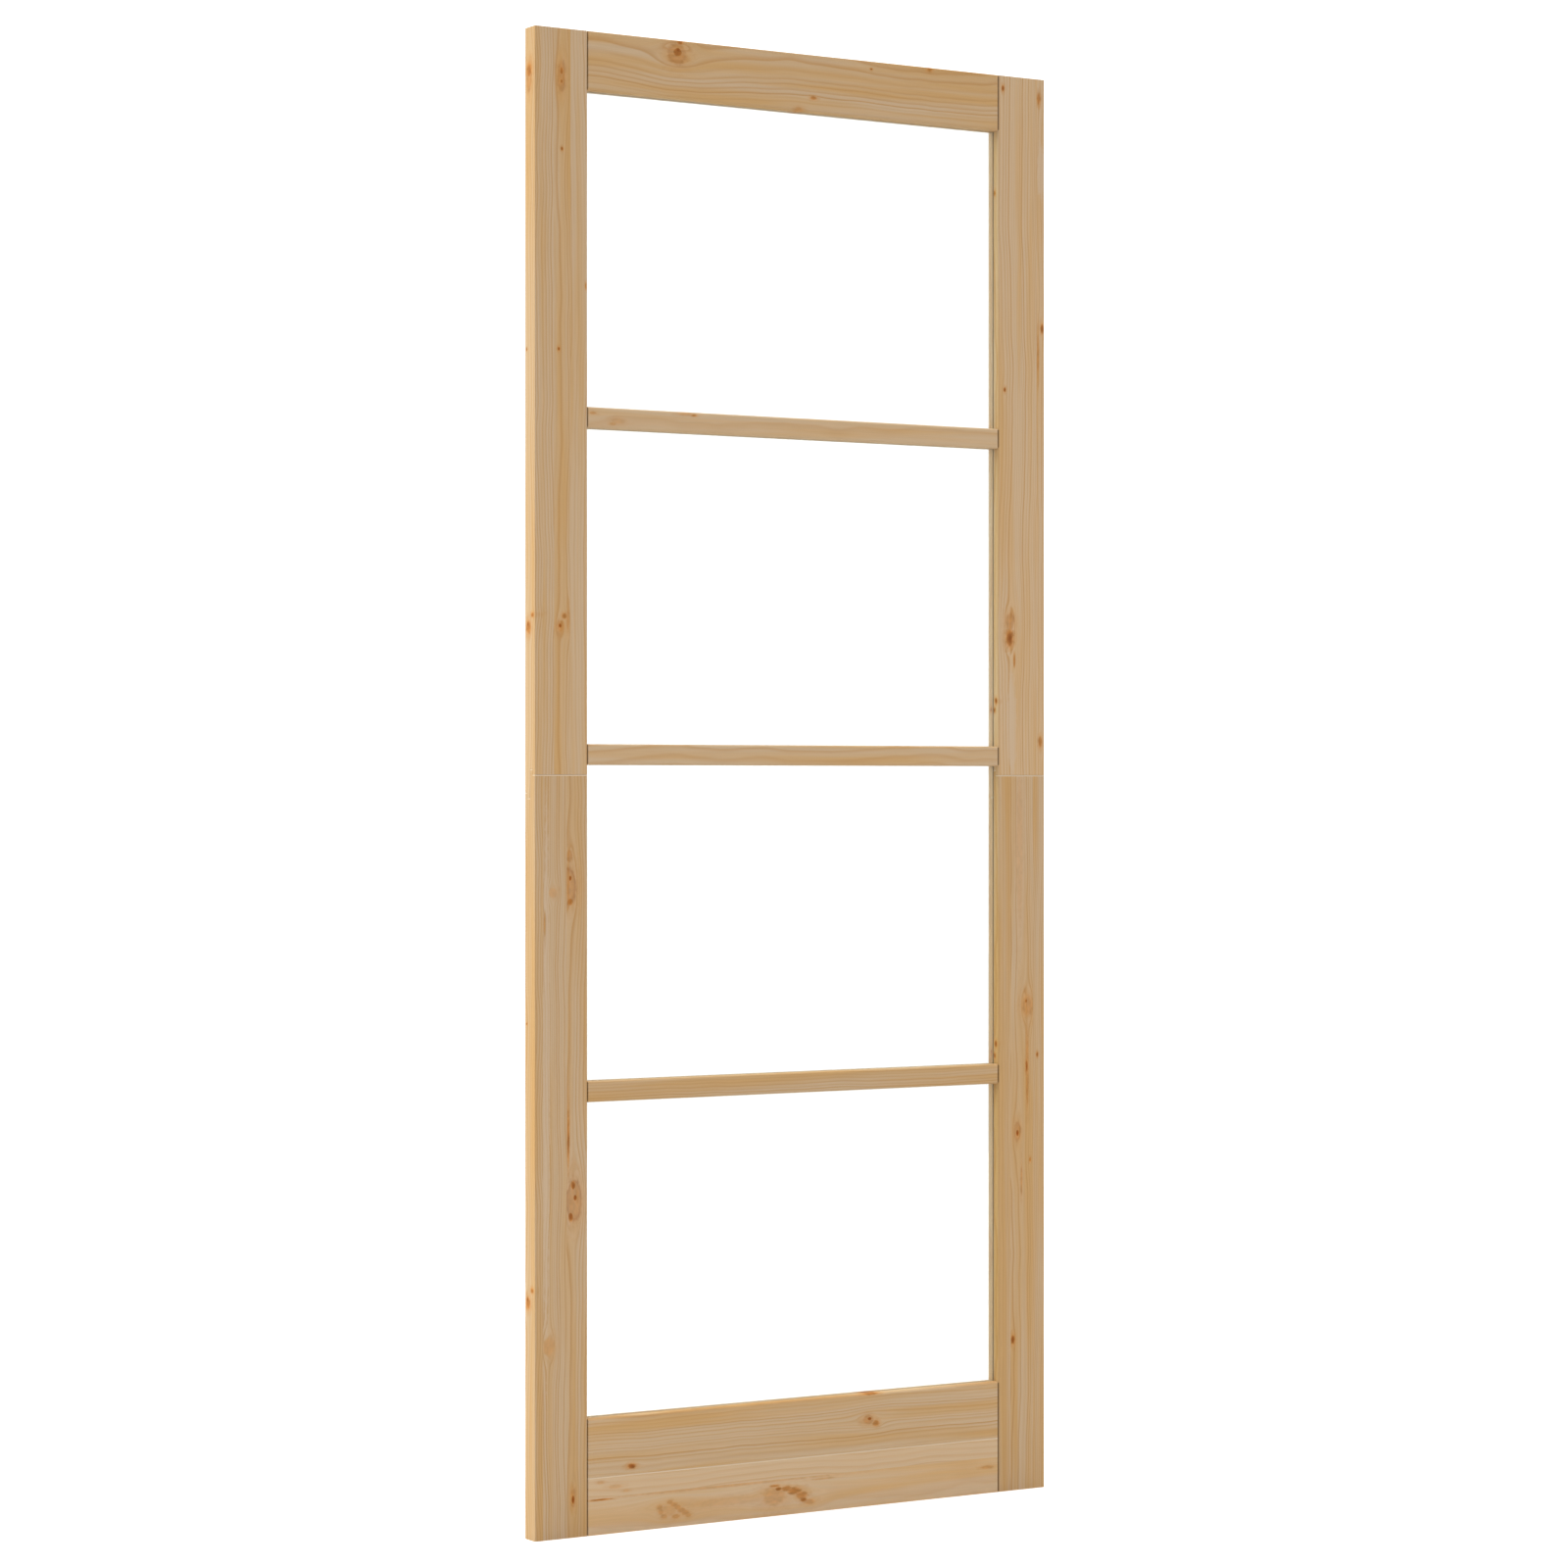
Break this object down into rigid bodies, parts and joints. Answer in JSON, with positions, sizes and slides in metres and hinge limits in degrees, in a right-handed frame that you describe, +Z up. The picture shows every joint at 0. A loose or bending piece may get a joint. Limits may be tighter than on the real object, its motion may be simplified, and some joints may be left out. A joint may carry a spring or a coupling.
{
  "type": "glazed interior door leaf",
  "caption": "Flat-pack pine door leaf: stiles hooked together at mid-height, grooved rails and glazing bars, and clear panes standing one above another in the grooves.",
  "frame": {"origin": "foot of the hinge edge, at mid-thickness", "axes": "+X across the leaf from the hinge edge to the lock edge, +Y from the front face to the back face, +Z up"},
  "size_m": [0.83, 0.028, 2.015],
  "materials": {
    "pine": "planed and sanded, untreated",
    "clear_glass": "clear float glass"
  },
  "bodies": {
    "root": {"left_stile_lower": "pine", "left_stile_upper": "pine", "right_stile_lower": "pine", "right_stile_upper": "pine", "top_rail": "pine", "bottom_rail_upper_board": "pine", "bottom_rail_lower_board": "pine", "glazing_bar_lower": "pine", "glazing_bar_middle": "pine", "glazing_bar_upper": "pine", "glass_pane_bottom": "clear_glass", "glass_pane_lower_middle": "clear_glass", "glass_pane_upper_middle": "clear_glass", "glass_pane_top": "clear_glass"}
  },
  "joints": []
}
